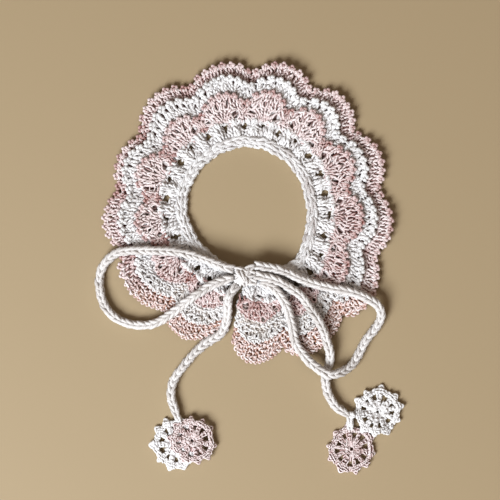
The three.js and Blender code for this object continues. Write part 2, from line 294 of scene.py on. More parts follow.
def yarn(name, hollow_shade, groove, ridge, roughness, floor_tinted_shade=(0.3, 0.2, 0.12, 1)):
    """The finish for the record's slot of that name. Its first colour is painted shade for the hollows, and
    the last one painted shade tinted like the pale floor seen through loose stitches, used at the front."""
    material = bpy.data.materials.new(name + "_finish")
    material.use_nodes = True
    tree = material.node_tree
    tree.nodes.clear()
    start = Shade(tree)
    apart = start.node("ShaderNodeSeparateXYZ", None, {"Vector": start.attribute("yarn", "Vector")})
    round_x, round_y, length = map(apart.output, "XYZ")
    angle = start.maths("ARCTAN2", round_y, round_x)
    ply = (angle * PLIES + length * (PLIES * math.pi / PLY_PITCH)).sine() * 0.5 + 0.5
    tone_and_shade, depth = start.attribute("tone_and_shade", "Fac"), start.attribute("hollow_shade", "Fac")
    # where the painted shade takes the floor's tint: the front of the lower ruffles
    loose = start.attribute("loose", "Fac")
    where = start.node("ShaderNodeTexCoord").output("Object")
    fuzz = start.node("ShaderNodeTexNoise", None, {"Vector": where, "Scale": 900.0, "Detail": 2.0})
    worn = start.node("ShaderNodeTexNoise", None, {"Vector": where, "Scale": 45.0, "Detail": 3.0})
    # painted shade in the ply's grooves, with the random tone, fuzz and wear
    light = (ply * BY_PLY + tone_and_shade * BY_STRAND + fuzz * BY_FUZZ + worn * BY_WEAR - 0.02).clamped()
    # painted shade: the hollows, and strands darkened below 0, go toward the shade colour
    shade = (depth**1.5 + (0 - tone_and_shade).clamped() * 0.4).clamped()
    height = ply * 0.75 + fuzz * 0.25
    bump = start.node("ShaderNodeBump", None, {"Strength": 0.55, "Distance": 0.00025, "Height": height})
    shader = start.node("ShaderNodeBsdfPrincipled", None, {
        "Base Color": shade.between(light.between(groove, ridge), loose.between(hollow_shade, floor_tinted_shade)),
        "Roughness": roughness + (fuzz - 0.5) * 0.25 + depth * 0.3,
        "Normal": bump,
        "Specular IOR Level": 0.25,
    })
    start.node("ShaderNodeOutputMaterial", None, {"Surface": shader})
    return material


# Each yarn: painted shade for its hollows, its grooves, its crests, and painted shade tinted like the floor
white_yarn = yarn(
    "white_yarn", (0.24, 0.14, 0.105, 1), (0.59, 0.59, 0.60, 1), (0.865, 0.88, 0.905, 1), 0.46,
    floor_tinted_shade=(0.50, 0.36, 0.23, 1),
)
pink_yarn = yarn(
    "pink_yarn", (0.26, 0.085, 0.065, 1), (0.62, 0.485, 0.485, 1), (0.93, 0.91, 0.93, 1), 0.4,
    floor_tinted_shade=(0.50, 0.28, 0.19, 1),
)
cord_yarn = yarn("cord_yarn", (0.34, 0.29, 0.25, 1), (0.56, 0.545, 0.54, 1), (0.81, 0.805, 0.815, 1), 0.44)
print("yarns:", white_yarn.name, pink_yarn.name, cord_yarn.name)

# %% [markdown]
# ## The tie cord
# The cord is crocheted link after link, each a V whose arms meet in the middle of the next one, so from
# above it looks plaited. It runs through the same points as the frame's tubes, here in millimetres. Only
# the right tail's first ones lie up to 3 mm beside its tube, so that a gap shows between it and the loop.

# %% State the cord's routes
ROUTES = {
    "left_loop": [
        (-13.6, -58.4, 16.6), (-29.5, -53.1, 15.6), (-46.8, -46.2, 14.3), (-69.7, -40.5, 14),
        (-92.7, -39.3, 14.3), (-115.6, -39.3, 12.2), (-129.4, -41.6, 9.4), (-140.9, -50.8, 6),
        (-146.6, -62.3, 4.1), (-147.3, -76.1, 4.1), (-144.3, -89.8, 4.1), (-136.3, -102.5, 4.1),
        (-123.7, -110.5, 4.1), (-107.6, -113.9, 4.6), (-91.5, -111.6, 7.2), (-77.8, -103.6, 10.2),
        (-64, -93.3, 13), (-50.2, -82.9, 16.6), (-35.3, -73.8, 17.2), (-22, -68.6, 17.2),
        (-14, -66.4, 17.2),
    ],
    "right_loop": [
        (7.5, -53.6, 16.6), (21.7, -56.3, 15), (36.7, -60, 13.9), (51.6, -66.9, 13.2), (67.7, -72.6, 13.6),
        (86, -77.2, 13.9), (104.4, -80.6, 14), (120.5, -87.5, 13), (130.8, -95.6, 9.8),
        (133.1, -107.1, 5.3), (127.4, -117.4, 4.1), (118.2, -128.8, 4.1), (111.3, -142.6, 4.1),
        (104.4, -153, 5.6), (94.1, -159.8, 10), (82.6, -162.2, 13), (70, -156.4, 12), (57.3, -144.9, 10.4),
        (48.1, -131.2, 9.8), (44.7, -115.1, 12.4), (40.1, -97.8, 15.4), (33.2, -85.1, 15.6),
        (25.2, -76, 15.2), (13.2, -71.6, 15.2),
    ],
    "left_tail": [
        (-9.8, -73.6, 14), (-14.5, -79, 15.4), (-19.2, -87.4, 16.8), (-19.4, -99, 12.4),
        (-21.5, -112.8, 5.4), (-27.3, -123.1, 4.1), (-41, -131.2, 4.1), (-52.5, -141.5, 4.1),
        (-64, -155.3, 4.1), (-72.5, -167.1, 4.1), (-75.8, -177.8, 4.1), (-75.8, -186.2, 4.1),
        (-72.5, -196.1, 4.1), (-69.4, -206.6, 4.1),
    ],
    "right_tail": [
        (7.9, -63.5, 16.8), (24.7, -67.9, 16.3), (34.4, -71.7, 15.5), (51.6, -82.9, 15.6),
        (63.1, -97.8, 15.2), (73.4, -113.9, 13.2), (79.1, -130, 11.4), (82.6, -143.8, 7), (81.4, -153, 4.2),
        (78.9, -160.8, 4.1), (77.9, -166.4, 4.1), (78.7, -174.8, 4.1), (81.7, -184.8, 4.1),
        (88.7, -194.8, 4.1), (96.2, -200.6, 4.1), (102, -204.5, 4.1),
    ],
}


def read_at(wanted, way, values):
    """Values that are known at the distances in way, read at the wanted ones."""
    return np.stack([np.interp(wanted, way, column) for column in values.T], -1)


def through(points, spacing):
    """Points at that spacing on a smooth line through all the given ones."""
    points = np.asarray(points, float)
    ends = np.vstack([2 * points[0] - points[1], points, 2 * points[-1] - points[-2]])
    t = np.linspace(0, 1, 24, endpoint=False)[:, None]
    line = [
        0.5 * (2 * b + (c - a) * t + (2 * a - 5 * b + 4 * c - d) * t**2 + (3 * b - a - 3 * c + d) * t**3)
        for a, b, c, d in zip(ends, ends[1:], ends[2:], ends[3:])
    ]
    line = np.vstack([*line, points[-1:]])
    way = way_along(line)
    return read_at(np.linspace(0, way[-1], max(2, round(way[-1] / spacing) + 1)), way, line)


# %% [markdown]
# One link's arm is seven points that come up from the side and dive into the middle. `LINK` holds, for
# each, how far along it is in links, and how far to the side and how high in millimetres. The arms are
# mirrored to the other side and, half a link on, to the underside, so the cord is plump all round.

# %% Crochet a chain along a line
LINK_PITCH = 6.6
LINK = np.array([
    [0.0, 2.6, -0.9], [0.22, 2.95, 0.4], [0.5, 2.75, 1.5], [0.88, 2.1, 2.2],
    [1.28, 1.35, 2.4], [1.62, 0.75, 1.9], [1.9, 0.35, 0.7],
])


def line_frames(line):
    """The side and up directions along a line."""
    ahead = unit(np.gradient(line, axis=-2))
    side = unit(left_of(ahead))
    return side, np.cross(ahead, side)


def links(line, pitch=LINK_PITCH, scale=1.0):
    """The arms of a chain along a finely spaced line."""
    way = way_along(line)
    room = way[-1] - 1.5 * pitch
    count = max(1, int(room / pitch))
    pitch = room / count
    arms = []
    for flip, shift in ((1, 0.0), (-1, 0.5)):
        begin = (np.arange(count + (shift == 0)) + shift) * pitch - 0.25 * pitch
        begin = begin + 0.05 * pitch * scatter(len(begin))
        wanted = begin[:, None] + LINK[:, 0] * pitch
        middle, s, u = (read_at(wanted, way, values) for values in (line, *line_frames(line)))
        for hand in (-1, 1):
            size = scale * (1 + 0.1 * scatter((len(begin), 1, 1)))
            wide = LINK[:, 1, None] * hand * size
            high = LINK[:, 2, None] * flip * size
            arms.append(middle + s * wide + u * high)
    return np.concatenate(arms)


# %% [markdown]
# The chain lies round a plain core, and three turns of yarn bind its last 6 mm, where it is fastened off.
# The two loops go back into the knot. The tails end in flowers, pieces of their own that are made further
# down.

# %% Lay the loops and tails
ARM, CORE, BINDING = 1.85, 2.6, 1.1  # mm, the radius of each kind of strand
BOUND_POINTS, TURNS, BOUND_RADIUS = 9, 3, 2.3


def bound_end(line):
    """The yarn wound round the last of a cord."""
    t = np.linspace(0, 1, 12 * TURNS + 1)
    steps = np.arange(len(line))
    middle, side, up = (read_at(t * steps[-1], steps, values) for values in (line, *line_frames(line)))
    turn = (2 * math.pi * TURNS * t)[:, None]
    return middle + BOUND_RADIUS * (side * np.cos(turn) + up * np.sin(turn))


cords = {}
for name, route in ROUTES.items():
    fine = through(route, 0.8)
    cord = Stitches()
    cord.lay(links(fine), ARM, sides=6, taper=0.6, dull_and_shade=0.35)
    cord.lay(fine[:: len(fine) // 60 or 1], CORE, sides=8)
    cord.lay(bound_end(fine[-BOUND_POINTS:]), BINDING)
    cords[name] = (cord.piece(name + "_stitches", cord_yarn, deep=0.5), fine * MM)


def length_of(line):
    return float(way_along(line)[-1])


for name in ("left_loop", "right_loop"):
    piece, line = cords[name]
    print(name, round(length_of(line) * 1000), "mm")

# %% [markdown]
# ## Where the rows run
# The frame's ruffles come from one table: a row for each of the thirteen shells, anticlockwise from the
# closing at the front. A place on the collar is `s` shells along it and `out` millimetres beyond the neck
# edge. The same functions here give each stitch its place and height. In the table, `edge`, `eyelet` and
# `rim` are the creases' directions in degrees at three distances out, and `neck` is the neck edge's radius
# there. `top`, `middle` and `under` are how far from the centre the tiers reach, and `lean` and `rise` are
# where along the shell its crown is and how high it stands.

# %% State the shells
NECK_CENTRE = (-1.3, 5.2)
EDGE_WIDTH, ROW_WIDTH, CREASE_TURN, RIM_DISTANCE = 9.0, 26.0, 44.0, 78.0
CREASE_EYELET, MIDDLE_EYELET, CREASE_RISE = 19.4, 22.0, 2.0
FRONT_RISE, FRONT_SPREAD, FRONT_FALL = 5.5, 2.9, 54.0
CREASES = [-70, -46, -21, 9, 38.5, 66, 91, 118.5, 146.3, 175, 204, 232.5]
TABLE = {
    "edge": [-87, *CREASES, 262.5],
    "eyelet": [-95, *CREASES, 260],
    "rim": [-96.5, -75, -48, -21, 6, 33.5, 59.5, 87, 116, 145, 172.5, 200.5, 232, 256.5],
    "neck": [68.5, 71, 72, 64.2, 60, 60, 59.6, 59.8, 58.8, 58.6, 59.8, 58.5, 59, 63.5],
    "top": [116, 121, 123, 118.5, 116.5, 117, 117.5, 115, 111.5, 115.5, 112, 111, 109],
    "middle": [137, 140, 139, 131, 128, 130.5, 131.5, 130.5, 129.5, 128.5, 128, 127.5, 128],
    "under": [157.5, 161, 157, 148, 145, 146, 147.5, 144.5, 144, 137.5, 143.5, 145, 146],
    "lean": [0.5, 0.35, 0.32, 0.45, 0.52, 0.58, 0.53, 0.42, 0.47, 0.55, 0.52, 0.45, 0.48],
    "rise": [4, 4, 5, 5.5, 5, 5, 6, 5.5, 5, 5, 5.5, 5, 4],
}
TABLE = {name: np.array(values, float) for name, values in TABLE.items()}
COUNT = len(TABLE["rise"])
TIERS = {
    "top_tier": dict(column="top", notch=0.845, low=4.8, lift=3.2),
    "middle_tier": dict(column="middle", notch=0.888, low=2.4, lift=1.6),
    "under_tier": dict(column="under", notch=0.902, low=0.0, lift=0.0),
}
END_NOTCH, CROWN_ROUNDING = 0.84, 0.7


# %% Find places and heights on the collar
def smooth(x):
    x = np.clip(x, 0, 1)
    return x * x * (3 - 2 * x)


def shell_of(s):
    return np.clip(np.floor(s), 0, COUNT - 1).astype(int)


def along(column, s, ease=False):
    row = shell_of(s)
    share = smooth(s - row) if ease else s - row
    values = TABLE[column]
    return values[row] + (values[row + 1] - values[row]) * share


def place(s, out, z):
    """Millimetres in the frame, s shells along and out beyond the neck edge, at height z."""
    s, out, z = np.broadcast_arrays(np.asarray(s, float), out, z)
    to_rim = np.clip((out - CREASE_TURN) / (RIM_DISTANCE - CREASE_TURN), 0, 1)
    to_eyelet = np.clip(out / CREASE_EYELET, 0, 1)
    inner = along("edge", s) * (1 - to_eyelet) + along("eyelet", s) * to_eyelet
    angle = np.radians(inner * (1 - to_rim) + along("rim", s) * to_rim)
    radius = along("neck", s, True) + out
    x, y = radius * np.cos(angle) + NECK_CENTRE[0], radius * np.sin(angle) + NECK_CENTRE[1]
    return np.stack([x, y, z], -1)


def front_rise(s):
    away = np.minimum(s, COUNT - s)
    return FRONT_RISE * smooth((FRONT_SPREAD - away) / FRONT_SPREAD)


def ground(s, out):
    row = shell_of(s)
    crown = np.sin(np.pi * (s - row))
    outwards = np.maximum(0, (out - CREASE_EYELET) / (RIM_DISTANCE - CREASE_EYELET))
    tent = np.maximum(0, 1 - np.maximum(0, out - ROW_WIDTH) / (FRONT_FALL - ROW_WIDTH))
    fold = CREASE_RISE + (TABLE["rise"][row] - CREASE_RISE) * crown
    return front_rise(s) * tent + fold * outwards


def reach(tier, s):
    """How far a tier's edge is from the neck edge, s shells along."""
    values = TABLE[tier["column"]]
    row = shell_of(s)
    inner = tier["notch"] * (values[:-1] + values[1:]) / 2
    notches = np.concatenate([[END_NOTCH * values[0]], inner, [END_NOTCH * values[-1]]])
    share = s - row
    notch = notches[row] + (notches[row + 1] - notches[row]) * share
    leaning = np.clip(share, 0, 1) ** (math.log(0.5) / np.log(TABLE["lean"][row]))
    bulge = np.maximum(0, np.sin(np.pi * leaning)) ** CROWN_ROUNDING
    return notch + (values[row] - notch) * bulge - along("neck", s, True)


def sheet_height(tier, s, out):
    """The underside of a tier's sheet."""
    lift = tier["lift"] * (out - ROW_WIDTH) / (RIM_DISTANCE - ROW_WIDTH)
    return ground(s, out) + tier["low"] + np.maximum(0, lift)


print(COUNT, "shells, top tier reaches", round(float(reach(TIERS["top_tier"], np.array(6.5)))), "mm")

# %% [markdown]
# ## Posts, heads and points
# Three kinds of strand make every row. A tall stitch is a post, which close by is a stack of short loops
# that slant across it, each over the start of the next. Its head is a V lying on its side, and a row of
# heads is a small plait along the row. A picot, the little knob on the ruffles' edges, is a thick ring with
# three bulges like a clover leaf. Plain strands behind each row keep the floor from showing between them.

# %% Make posts out of loops
LOOP_PITCH = 3.4  # mm from loop to loop along a post


def up(heights):
    return np.asarray(heights)[..., None] * [0, 0, 1]


def slanted(middle_of, posts, loops, wide, high=0.9, slack=0.5):
    """Short loops that slant across each post, whose middle at the shares t is middle_of(t). All the posts'
    first loops come first, then the second ones."""
    noise = scatter((5, loops, posts, 1))
    along_loop = np.linspace(-1, 1, 5)
    t = (np.arange(loops)[:, None, None] + 0.5 + 0.62 * along_loop + 0.14 * noise[0]) / loops
    middle = middle_of(t)
    hand = np.where(rng.random((1, posts, 1)) < 0.75, 1.0, -1.0)
    width = (wide[0] + (wide[1] - wide[0]) * t) * (1 + 0.45 * noise[1])
    aside = width * hand * along_loop + slack * noise[2]
    rise = 0.9 + high * (1 - along_loop**2) * (1 + 0.3 * noise[3]) + 0.22 * noise[4]
    return (middle + line_frames(middle)[0] * aside[..., None] + up(rise)).reshape(-1, 5, 3)


def straight(s0, out0, s1, out1, surface, t, lift=0.0):
    """Points at shares t of the way from (s0, out0) to (s1, out1), lift above the surface."""
    s0, out0, s1, out1 = (v[:, None] for v in np.broadcast_arrays(s0, out0, s1, out1))
    s, out = s0 + (s1 - s0) * t, out0 + (out1 - out0) * t
    return place(s, out, surface(s, out) + lift)


def posts(s0, out0, s1, out1, surface, wide=(0.9, 0.95), slack=0.5):
    """Tall stitches from (s0, out0) to (s1, out1) on the surface."""
    span = np.linalg.norm(place(s1, out1, 0.0) - place(s0, out0, 0.0), axis=-1).mean()
    post = lambda t: straight(s0, out0, s1, out1, surface, t)
    return slanted(post, len(s0), max(1, round(span / LOOP_PITCH)), wide, slack=slack)


def backing(s0, out0, s1, out1, surface, lift):
    """Plain strands that close a row from behind."""
    return straight(s0, out0, s1, out1, surface, np.linspace(0, 1, 4), lift)


# %% Make the heads of a row
def plait(line, surface, pitch=3.4, amplitude=0.75, high=0.5, lift=1.3):
    """Two strands that cross once a stitch, along the row that lies line(s) out."""
    s = np.linspace(0.03, COUNT - 0.03, math.ceil(90 * (COUNT - 0.06)))
    middle = place(s, line(s), surface(s, line(s)) + lift)
    way = way_along(middle)
    even = np.linspace(0, way[-1], round(way[-1] / pitch * 3))
    middle = read_at(even, way, middle)
    phase = math.pi * even / pitch
    return np.array([
        middle + line_frames(middle)[0] * (amplitude * np.cos(phase + half))[:, None]
        + up(high * np.sin(2 * phase + half))
        for half in (0, math.pi)
    ])


# %% Space the stitches and dull some of them
def dullness_and_shade(s, by_closing=0.3, crease=1.0, crown=0.0):
    """How much darker strands are: near the closing by its own amount, then painted shade: by crease in the
    creases, most on the left, by crown on the crowns at the right, which turn from the light, painted light
    where crown is below 0, and by half behind the bow, the bow's painted shadow."""
    near_closing = by_closing * smooth((2.35 - np.minimum(s, COUNT - s)) / 0.5)
    middle = np.sin(np.pi * (s - np.floor(s)))
    creased = crease * (0.2 + 0.8 * smooth((s - 7) / 2)) * (1 - smooth(middle / 0.6))
    crowned = crown * (1 - smooth((s - 3.5) / 2)) * smooth(middle / 0.8)
    return near_closing + creased + crowned + 0.5 * (1 - smooth(s / 0.75))


def spots(line, pitch):
    """Places for the stitches of a row, about pitch millimetres apart and even within each shell."""
    found = []
    for shell in range(COUNT):
        s = shell + np.linspace(0.001, 0.999, 30)
        row = place(s, line(s), 0.0)
        count = max(1, round(way_along(row)[-1] / pitch))
        found.append(shell + (np.arange(count) + 0.5) / count)
    return np.concatenate(found)


# %% Make a picot
PICOT_TURN = np.radians(np.linspace(-155, 155, 18))  # the ring is open at its foot
BULGES = np.cos(4.2 * PICOT_TURN)


def picots(s, out, surface, size=1.0, pointed=0.0, lift=1.3):
    """A thick ring with three bulges on each stitch, or one that is drawn to a point."""
    centre = place(s, out, surface(s, out) + lift)
    outwards = unit(place(s, out + 1, 0.0) - place(s, out - 1, 0.0))
    side = left_of(outwards)
    uneven = scatter((3, len(s), 1))
    radius = (2.4 * size + 0.15 * uneven[0]) * (1 + 0.2 * (1 - pointed) * BULGES)
    x = radius * np.cos(PICOT_TURN) * (1 + 0.3 * pointed) + 0.3 * uneven[1]
    y = radius * np.sin(PICOT_TURN) * (1 - 0.1 * pointed)
    rise = up(0.4 * BULGES + 0.3 * uneven[2])
    return centre[:, None] + x[..., None] * outwards[:, None] + y[..., None] * side[:, None] + rise


# %% [markdown]
# ## The white band
# Round the neck run two chunky chains side by side. Each is laid twice, large and small, over a plain core,
# and wanders a little as a worked edge does. Its colour is darker on the right, painted shade where it faces
# away from the light, and lighter at the front right, painted light.

# %% Crochet the neck edge
CORE_OUT, CORE_LIFT = (2.4, 6.4), 1.9  # mm
CHAINS = ((2.5, 2.5, 7.2, 0.82), (6.6, 2.9, 8.6, 0.95))  # mm out, up and from link to link, and the scale

neck = Stitches()
fine_s = np.linspace(0.02, COUNT - 0.02, 2400)
wavy = 0.7 * np.sin(fine_s * 20) + 0.4 * np.sin(fine_s * 7.3)
for out in CORE_OUT:
    neck.lay(place(fine_s[::12], out + wavy[::12], front_rise(fine_s[::12]) + CORE_LIFT), 1.9, sides=6)
for out, lift, pitch, scale in CHAINS:
    bent = wavy + 0.4 * np.sin(fine_s * 31 + out)
    line = place(fine_s, out + bent, front_rise(fine_s) + lift + 0.4 * np.sin(fine_s * 17))
    large, small = links(line, pitch, scale), links(line, 1.3 * pitch, 0.7 * scale)
    for arms, thick in ((large, 1.75 * scale), (small, 1.3)):
        x, y = arms[:, 0, 0], arms[:, 0, 1]
        # painted shade on the right, painted light at the front right
        dull_and_shade = 0.35 + 0.5 * smooth((x - 10) / 60) - 0.5 * smooth(x / 15) * smooth((-30 - y) / 15)
        neck.lay(arms, thick, sides=6, taper=0.6, dull_and_shade=dull_and_shade)
neck_piece = neck.piece("neck_edge_stitches", white_yarn, deep=0.85)

# %% [markdown]
# Outside the band come clusters of five plump stitches, with a diamond-shaped eyelet between two clusters.
# The diamonds need no cutting: a cluster's posts are drawn together at the eyelets' height and spread at
# both ends. Each post is a stout strand with loops over it.

# %% Crochet the clusters
POSTS_IN_CLUSTER = 5


def constant(value):
    return lambda s: np.full_like(s, value)


def row_surface(s, out):
    """The row climbs at its outer edge, where it lies over the foot of the ruffle."""
    return front_rise(s) + 0.4 + 5.0 * smooth((out - 21) / 6)


def row_end(s):
    """The row's outer edge: an arc round each cluster, drawn in at the closing's right."""
    return 27.6 - 13 * ((2 * s) % 1 - 0.5) ** 2 - 5.5 * (1 - smooth(s / 0.5))


row = Stitches()
cluster = (np.arange(2 * COUNT) + 0.5) / 2


def cluster_middle(aside, lift, t):
    """The line of one post in every cluster, at shares t. aside is from -1 to 1 across the cluster."""
    end = row_end(cluster + 0.25 * aside)[:, None]
    out_along = EDGE_WIDTH - 1 + (end - EDGE_WIDTH + 1) * t
    toward_middle = aside * np.where(cluster % 1 < 0.5, 1, -1)[:, None] > 0
    middle_eyelet = np.where(cluster > COUNT - 1, 19.6, MIDDLE_EYELET)[:, None]
    eyelet = np.where(toward_middle, middle_eyelet, CREASE_EYELET)
    wide, long = np.where(toward_middle, 0.075, 0.1), np.where(toward_middle, 3.0, 3.3)
    drawn = 0.226 - wide * np.exp(-(((out_along - eyelet) / long) ** 2))
    s = cluster[:, None] + aside * drawn + 0.004 * scatter((len(cluster), 1))
    s = np.clip(s - 0.1 * np.sin(np.pi * np.clip(s - COUNT + 1, 0, 1)), 0.01, COUNT - 0.01)
    puff = 4.2 * np.sin(np.pi * np.clip(t, 0, 1)) ** 0.8 * (1 - 0.85 * aside**2)
    return place(s, out_along, row_surface(s, out_along) + lift + puff)


for aside in np.linspace(-0.86, 0.86, POSTS_IN_CLUSTER + 1):
    row.lay(cluster_middle(aside, 1.2, np.linspace(0, 1, 13)), 1.35, sides=6)
for aside in np.linspace(-0.94, 0.94, POSTS_IN_CLUSTER):
    post = lambda t: cluster_middle(aside, 0.7, t)
    loops = slanted(post, len(cluster), 5, wide=(1.35, 1.35), high=0.8, slack=0.7)
    # outer posts of each cluster darker, middle ones lighter: painted shade and light on its rounded puff
    row.lay(loops, 1.3, dull_and_shade=0.6 * aside**2 - 0.3)
for line, lift in ((constant(EDGE_WIDTH + 0.8), 0.2), (lambda s: row_end(s) - 0.4, 1.7)):
    row.lay(plait(line, row_surface, pitch=3.6, amplitude=0.85, high=0.4, lift=lift), 0.95)
row_piece = row.piece("eyelet_row_stitches", white_yarn, deep=0.62)

# %% [markdown]
# ## The ruffles
# Each shell of the top ruffle fans out of the eyelet at its middle. A second row stands on the fan, and
# picots edge it. The white ruffle below shows two rows and its picots, and so does the lowest, pink one.
# What a ruffle above hides is only a few long strands. Beside the closing the two lower ruffles show their
# wrong side, a field of short loops, and their picots are drawn tight.

# %% Crochet the rows of a ruffle
STITCH, PICOT = 4.1, 9.5  # mm from stitch to stitch and from picot to picot
WRONG_RIGHT, WRONG_LEFT = 2.2, 11.35  # the wrong side shows up to the one and from the other, in shells
SLOPE = 4.6  # mm from the last row's heads to the ruffle's edge


def fabric(made, surface, low, high, wide, plump, dim, crown):
    """A row of tall stitches between two lines, with a plain strand behind each gap. plump thickens them,
    dim darkens them everywhere and lightens them below 0, and crown darkens the right crowns with painted
    shade, or lightens them with painted light when below 0."""
    s = spots(high, STITCH)
    sway = 0.012 * scatter(len(s))
    loops = posts(s, low(s) - 0.4, s + sway, high(s) + 0.4, surface, wide=(wide, wide))
    made.lay(loops, 1.15 + 0.25 * plump, dull_and_shade=dim + dullness_and_shade(s, crown=crown))
    half = 0.5 * np.diff(s, append=s[-1] + (s[-1] - s[-2]))
    s = np.clip(s + half, 0, COUNT - 0.01)
    made.lay(backing(s, low(s) - 0.4, s, high(s) + 0.2, surface, 0.3 + plump), 0.9 + 0.6 * plump, sides=4)


def dabs(made, surface, low, high, part, dim):
    """Staggered rows of short plump loops, which is how the wrong side of the stitches shows."""
    t = np.linspace(-1, 1, 5)
    for number, share in enumerate(np.linspace(0.08, 1.0, 6)):
        s = np.arange(part[0] + 0.035 * (number % 2), part[1], 0.07)[:, None]
        noise = scatter((5, *s.shape))
        s = s + 0.01 * noise[0]
        slant = np.where(number % 2, 0.7, -0.7) + 0.7 * noise[1]
        out = low(s) + share * (high(s) - low(s)) + 0.5 * noise[2] + slant * t + 0.5 * (1 - t**2)
        along_row = s + (0.031 + 0.005 * noise[3]) * t
        rise = 2.3 + 0.35 * noise[4] + 0.5 * (1 - t**2)
        paths = place(along_row, out, surface(along_row, out) + rise)
        made.lay(paths, 1.0, dull_and_shade=dim + rng.uniform(-0.3, 0.5, len(s)))


def edging(made, surface, tier, knob):
    """The picots and the short stitches that carry them. knob is how far the picots are filled."""
    edge = lambda s: reach(tier, s)
    drawn_tight = lambda s: (s < WRONG_RIGHT) | (s > WRONG_LEFT)
    s = spots(edge, PICOT)
    wide = s[~drawn_tight(s)]
    thick = 1.5 + 0.6 * knob + 0.3 * BULGES
    rings = picots(wide, edge(wide) - 3.1, surface, 1 + 0.12 * knob, lift=1.3 + 0.7 * knob)
    # pink picots are darker, with painted shade in the creases and on the right crowns
    dull_and_shade = 0.8 - 0.9 * knob + (1 - knob) * dullness_and_shade(wide, 0, 1.6, 0.2)
    made.lay(rings, thick, sides=6, dull_and_shade=dull_and_shade)
    made.lay(backing(wide, edge(wide) - 5.6, wide, edge(wide) - 2.0, surface, 1.5), 1.2 + knob, dull_and_shade=dull_and_shade)
    tight = spots(edge, 0.55 * PICOT)
    tight = tight[drawn_tight(tight)]
    made.lay(picots(tight, edge(tight) - 2.2, surface, 0.62, 1.0), 1.05, dull_and_shade=0.7 * (1 - knob))
    for shift in (-0.024, 0.024):
        loops = posts(s + shift, edge(s) - 6.4, s + shift / 2, edge(s) - 2.6, surface)
        made.lay(loops, 1.0, dull_and_shade=0.6 * (1 - knob))


# %% Crochet a ruffle
def ruffle(name, material, low, shares, wide, fan=0, deep=1.0, holes=(), knob=0.0, dim=0.0, crown=0.0):
    """Its rows start from the line low(s) and end at the shares of the way out. wide is their posts' width,
    and fan the posts in each fan of the first row, or 0 for none."""
    tier, made = TIERS[name], Stitches(holes)
    surface = lambda s, out: sheet_height(tier, s, out)
    room = lambda s: reach(tier, s) - SLOPE - low(s)
    lines = [low, *(lambda s, share=share: low(s) + share * room(s) for share in shares)]
    if fan:
        arch = lambda s: np.maximum(0, np.sin(np.pi * (s - shell_of(s)))) ** 0.55
        foot = 3.5  # mm of the first row that stays in the creases
        lines[1] = lambda s: low(s) + foot + (shares[0] * room(s) - foot) * arch(s)
        across = np.linspace(-1, 1, fan)
        middles = (np.arange(COUNT) + 0.5)[:, None]
        s0 = (middles + 0.13 * across).ravel()
        s1 = (middles + 0.485 * across).ravel()
        out0 = np.tile(23.6 + 2.6 * (1 - across**2), COUNT)
        loops = posts(s0, out0, s1, lines[1](s1), surface, wide=(0.35, 1.0), slack=0.4)
        thick = np.linspace(0.8, 1.25, len(loops) // len(s0)).repeat(len(s0))[:, None]
        # strong painted shade in the creases between the fans
        made.lay(loops, thick, dull_and_shade=dullness_and_shade(s1, 0.5, 2.4, crown))
        made.lay(backing(s0, out0 + 1, s1 + 0.02, lines[1](s1), surface, 0.7), 1.3, sides=4)
        s = spots(constant(28.0), STITCH)
        s = s[np.abs(s - shell_of(s) - 0.5) > 0.12]
        made.lay(posts(s, row_end(s) - 1, s, 31.6, surface), 1.0, dull_and_shade=dullness_and_shade(s, 0.5, 2.4, crown))
    else:
        s = spots(low, 4.5)
        made.lay(backing(s, ROW_WIDTH - 1.0, s, low(s) + 1.0, surface, 0.9), 1.9, sides=6)
    start = 1 if fan else 0
    for inner, outer in zip(lines[start:], lines[start + 1:]):
        fabric(made, surface, inner, outer, wide, 0.5 * knob, dim, crown)
    for line in lines[1:]:
        made.lay(plait(line, surface, STITCH), 0.8)
    if not fan:
        for part in ((0.06, WRONG_RIGHT), (WRONG_LEFT, COUNT - 0.06)):
            dabs(made, surface, low, lambda s: reach(tier, s) - 3.4, part, 0.25 * knob)
    edging(made, surface, tier, knob)
    return made.piece(name + "_stitches", material, deep)


# %% [markdown]
# Every shell has a few larger openings at the foot and in the middle of its fan, and small ones follow the
# edge of the white ruffle. The white yarn lies plumper than the pink and nearly fills its picots, so that
# ruffle is made with thicker strands.

# %% Crochet the three ruffles
OPENINGS = (  # how far along a shell, mm out, and mm in radius
    (0.21, 31.5, 4.0), (0.8, 32.5, 3.7), (0.5, 43, 2.6), (0.33, 39, 2.0), (0.7, 41, 2.2),
)
HIDDEN = 6.0  # mm of a ruffle's visible rows that start under the ruffle above


def under(name, by):
    """Just inside the edge of the ruffle above, where the rows below come into sight."""
    return lambda s: reach(TIERS[name], s) - by


def holes_at(s, out, size):
    """Holes of one size, each as x, y and the radius, which takes the height's place."""
    return place(s, out, size).tolist()


holes = []
for share, out, size in OPENINGS:
    stray = scatter((2, COUNT))
    holes += holes_at(np.arange(COUNT) + share + 0.04 * stray[0], out + 1.5 * stray[1], size)
s = spots(under("middle_tier", 0.0), 7.0)
small_holes = holes_at(s, under("middle_tier", 6.2)(s) + scatter(len(s)), 2.1)
print(len(holes), "openings and", len(small_holes), "small ones")

top = ruffle(
    "top_tier", pink_yarn, constant(ROW_WIDTH), (0.55, 1.0), 1.0, fan=11, holes=holes, crown=0.45
)
middle = ruffle(
    "middle_tier", white_yarn, under("top_tier", HIDDEN), (0.5, 1.0), 1.05, deep=0.5,
    holes=holes + small_holes, knob=0.8, dim=-0.25, crown=0.4,
)
lowest = ruffle(
    "under_tier", pink_yarn, under("middle_tier", HIDDEN), (0.5, 1.0), 0.85, dim=0.2, crown=-0.6
)

# %% [markdown]
# ## The flowers
# Each flower is worked from the middle: a small ring, a round of stitches in ten pairs with gaps between
# them, a dense rim, and a blunt point over every pair. They lie flat, and the upper one of two rides over
# the other's points. From each tail's end a short chain goes on to both its flowers.

